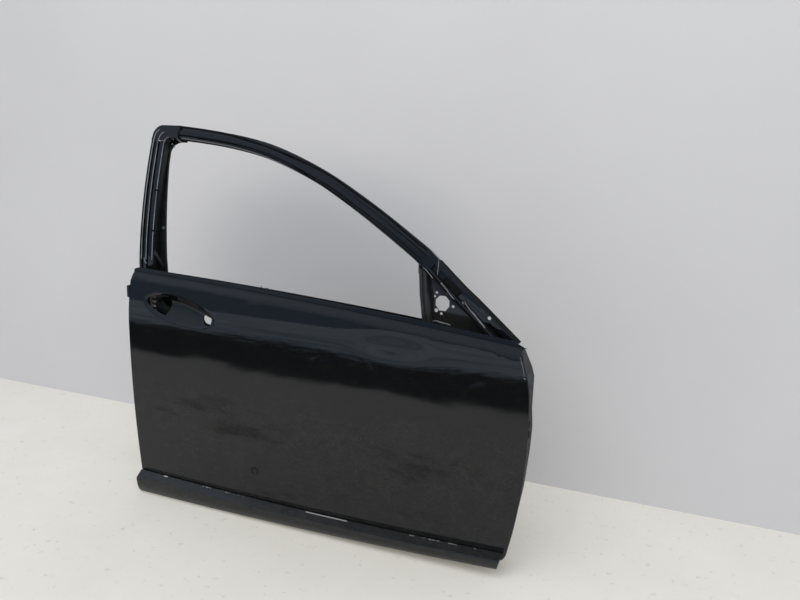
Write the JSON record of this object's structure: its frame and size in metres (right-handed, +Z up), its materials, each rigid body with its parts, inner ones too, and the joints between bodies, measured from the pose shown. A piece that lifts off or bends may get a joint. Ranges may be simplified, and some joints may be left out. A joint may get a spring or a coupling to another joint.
{
  "type": "car door shell",
  "caption": "Right front car door shell: pressed skin with a hand recess, deep inner pan, sill moulding and an empty window frame with a mirror corner.",
  "frame": {"origin": "on the flat outer face of the upper hinge pad in the hinge wall, half way between its two bolt holes", "axes": "+X towards the front of the car, out of the hinge wall; +Z up; -Y out of the skin's outer face, +Y into the car"},
  "size_m": [1.1911, 0.2065, 1.0839],
  "materials": {
    "beam_bracket_front_finish": "matt primer",
    "beam_bracket_rear_finish": "matt primer",
    "belt_clip_finish": "matt",
    "belt_rail_inner_finish": "matt primer",
    "belt_rail_outer_finish": "matt primer",
    "check_plate_finish": "matt primer",
    "corner_gusset_finish": "satin",
    "edge_buffer_finish": "matt",
    "frame_corner_finish": "gloss",
    "frame_joint_finish": "gloss",
    "front_damping_pad_finish": "matt",
    "front_guide_finish": "matt primer",
    "front_guide_bracket_finish": "matt primer",
    "front_rail_finish": "gloss",
    "handle_carrier_finish": "matt",
    "header_channel_finish": "satin",
    "header_profile_finish": "gloss",
    "impact_beam_finish": "matt primer",
    "inner_panel_finish": "satin",
    "latch_plate_finish": "matt primer",
    "lever_comb_finish": "matt",
    "lower_frame_screw_finish": "satin",
    "lower_hinge_plate_finish": "matt primer",
    "lower_wall_plug_finish": "matt",
    "mirror_plate_finish": "satin",
    "mirror_plate_bracket_finish": "matt primer",
    "mirror_post_finish": "satin",
    "moulding_clip_1_finish": "matt",
    "moulding_clip_2_finish": "matt",
    "moulding_clip_3_finish": "matt",
    "moulding_clip_4_finish": "matt",
    "moulding_clip_5_finish": "matt",
    "moulding_clip_6_finish": "matt",
    "moulding_clip_7_finish": "matt",
    "outer_panel_finish": "gloss",
    "pillar_channel_finish": "satin",
    "pillar_profile_finish": "gloss",
    "rear_damping_pad_finish": "matt",
    "rear_guide_bracket_finish": "matt primer",
    "sill_moulding_finish": "gloss",
    "upper_frame_screw_finish": "satin",
    "upper_hinge_plate_finish": "matt primer",
    "upper_wall_plug_finish": "matt",
    "waist_damping_pad_finish": "matt"
  },
  "bodies": {
    "root": {"beam_bracket_front": "beam_bracket_front_finish", "beam_bracket_rear": "beam_bracket_rear_finish", "belt_clip": "belt_clip_finish", "belt_rail_inner": "belt_rail_inner_finish", "belt_rail_outer": "belt_rail_outer_finish", "check_plate": "check_plate_finish", "corner_gusset": "corner_gusset_finish", "edge_buffer": "edge_buffer_finish", "frame_corner": "frame_corner_finish", "frame_joint": "frame_joint_finish", "front_damping_pad": "front_damping_pad_finish", "front_guide": "front_guide_finish", "front_guide_bracket": "front_guide_bracket_finish", "front_rail": "front_rail_finish", "handle_carrier": "handle_carrier_finish", "header_channel": "header_channel_finish", "header_profile": "header_profile_finish", "impact_beam": "impact_beam_finish", "inner_panel": "inner_panel_finish", "latch_plate": "latch_plate_finish", "lever_comb": "lever_comb_finish", "lower_frame_screw": "lower_frame_screw_finish", "lower_hinge_plate": "lower_hinge_plate_finish", "lower_wall_plug": "lower_wall_plug_finish", "mirror_plate": "mirror_plate_finish", "mirror_plate_bracket": "mirror_plate_bracket_finish", "mirror_post": "mirror_post_finish", "moulding_clip_1": "moulding_clip_1_finish", "moulding_clip_2": "moulding_clip_2_finish", "moulding_clip_3": "moulding_clip_3_finish", "moulding_clip_4": "moulding_clip_4_finish", "moulding_clip_5": "moulding_clip_5_finish", "moulding_clip_6": "moulding_clip_6_finish", "moulding_clip_7": "moulding_clip_7_finish", "outer_panel": "outer_panel_finish", "pillar_channel": "pillar_channel_finish", "pillar_profile": "pillar_profile_finish", "rear_damping_pad": "rear_damping_pad_finish", "rear_guide_bracket": "rear_guide_bracket_finish", "sill_moulding": "sill_moulding_finish", "upper_frame_screw": "upper_frame_screw_finish", "upper_hinge_plate": "upper_hinge_plate_finish", "upper_wall_plug": "upper_wall_plug_finish", "waist_damping_pad": "waist_damping_pad_finish"}
  },
  "joints": []
}
